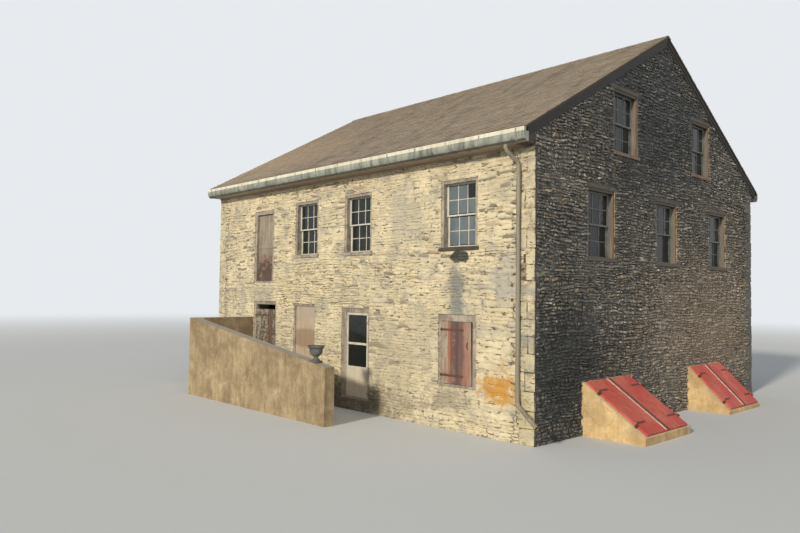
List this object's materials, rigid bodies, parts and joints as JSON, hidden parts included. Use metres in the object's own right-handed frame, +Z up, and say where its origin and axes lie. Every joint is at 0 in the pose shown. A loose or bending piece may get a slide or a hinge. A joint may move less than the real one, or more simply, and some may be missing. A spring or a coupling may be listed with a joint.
{
  "type": "stone watermill building",
  "caption": "Rubble-stone mill with shingled gable roof, sash windows, boarded doors, sunken areaway and sloping cellar hatches.",
  "frame": {"origin": "centre of the footprint at the underside of the walls and ground floor", "axes": "+Z up; the front eave wall faces -Y and the gable with the cellar hatches faces +X"},
  "size_m": [12.2334, 12.1274, 8.4665],
  "materials": {
    "limewashed_rubble": "limewashed rubble",
    "schist_rubble": "bare split rubble",
    "floor_slab": "trowelled",
    "floor_boards": "sawn boards",
    "roof_boards": "sawn boards",
    "shingles": "weathered shingles",
    "eave_timber": "dark stain",
    "verge_timber": "dark paint",
    "gutter_metal": "aged paint",
    "downspout_metal": "aged paint",
    "weathered_frame": "weathered",
    "brown_frame": "weathered paint",
    "white_sash": "white paint",
    "grey_sash": "grey paint",
    "window_glass": "old glass",
    "old_lintel": "weathered",
    "grey_boards": "weathered boards",
    "taupe_boards": "aged paint",
    "peeling_boards": "peeling paint",
    "red_boards": "worn red paint",
    "white_door": "white paint",
    "red_steel": "matt red paint",
    "areaway_concrete": "stained concrete",
    "hatch_masonry": "limewashed",
    "urn_stone": "cast stone"
  },
  "bodies": {
    "building": {"areaway_door_frame": "weathered_frame", "areaway_return_wall": "areaway_concrete", "areaway_wall": "areaway_concrete", "attic_floor": "floor_boards", "bargeboards": "verge_timber", "boarded_opening_frame": "weathered_frame", "boarded_opening_panel": "taupe_boards", "front_doorway_sills_and_lintels": "limewashed_rubble", "front_downspout": "downspout_metal", "front_eave_cornice": "eave_timber", "front_gutter": "gutter_metal", "front_roof_deck": "roof_boards", "front_roof_shingles": "shingles", "front_sashes": "white_sash", "front_wall_corner_pier": "limewashed_rubble", "front_wall_door_pier": "limewashed_rubble", "front_wall_left_pier": "limewashed_rubble", "front_wall_middle_pier": "limewashed_rubble", "front_wall_upper": "limewashed_rubble", "front_window_frames": "weathered_frame", "gable_window_lintels": "old_lintel", "ground_floor": "floor_slab", "hatch_1_cheeks": "hatch_masonry", "hatch_1_sills": "hatch_masonry", "hatch_2_cheeks": "hatch_masonry", "hatch_2_sills": "hatch_masonry", "left_gable_sashes": "grey_sash", "left_gable_wall": "schist_rubble", "left_gable_window_frames": "brown_frame", "main_floor": "floor_boards", "planter_urn": "urn_stone", "rear_eave_cornice": "eave_timber", "rear_gutter": "gutter_metal", "rear_roof_deck": "roof_boards", "rear_roof_shingles": "shingles", "rear_sashes": "white_sash", "rear_wall": "schist_rubble", "rear_window_frames": "weathered_frame", "red_door_frame": "weathered_frame", "right_gable_sashes": "grey_sash", "right_gable_wall": "schist_rubble", "right_gable_window_frames": "brown_frame", "storm_door_frame": "weathered_frame", "upper_door": "grey_boards", "upper_door_frame": "weathered_frame", "window_glass": "window_glass"},
    "areaway_door": {"areaway_door": "peeling_boards"},
    "red_door": {"red_door": "red_boards"},
    "storm_door": {"storm_door": "white_door", "storm_door_glass": "window_glass"},
    "hatch_1_left_leaf": {"hatch_1_left_leaf": "red_steel"},
    "hatch_1_right_leaf": {"hatch_1_right_leaf": "red_steel"},
    "hatch_2_left_leaf": {"hatch_2_left_leaf": "red_steel"},
    "hatch_2_right_leaf": {"hatch_2_right_leaf": "red_steel"}
  },
  "joints": [
    {"name": "areaway_door_hinge", "type": "hinge", "parent": "building", "child": "areaway_door", "pos_m": [-3.484, -4.995, 1.3], "axis": [0, 0, -1], "range_deg": [0, 90]},
    {"name": "storm_door_hinge", "type": "hinge", "parent": "building", "child": "storm_door", "pos_m": [1.059, -4.995, 1.2], "axis": [0, 0, 1], "range_deg": [0, 100]},
    {"name": "red_door_hinge", "type": "hinge", "parent": "building", "child": "red_door", "pos_m": [3.254, -4.995, 1.45], "axis": [0, 0, -1], "range_deg": [0, 110]},
    {"name": "hatch_1_left_hinge", "type": "hinge", "parent": "building", "child": "hatch_1_left_leaf", "pos_m": [5.52839, -3.415, 1.01744], "axis": [0.829, 0, -0.5592], "range_deg": [0, 105]},
    {"name": "hatch_1_right_hinge", "type": "hinge", "parent": "building", "child": "hatch_1_right_leaf", "pos_m": [5.52839, -1.825, 1.01744], "axis": [-0.829, 0, 0.5592], "range_deg": [0, 105]},
    {"name": "hatch_2_left_hinge", "type": "hinge", "parent": "building", "child": "hatch_2_left_leaf", "pos_m": [5.53042, 1.095, 1.00579], "axis": [0.7193, 0, -0.6947], "range_deg": [0, 105]},
    {"name": "hatch_2_right_hinge", "type": "hinge", "parent": "building", "child": "hatch_2_right_leaf", "pos_m": [5.53042, 2.705, 1.00579], "axis": [-0.7193, 0, 0.6947], "range_deg": [0, 105]}
  ]
}
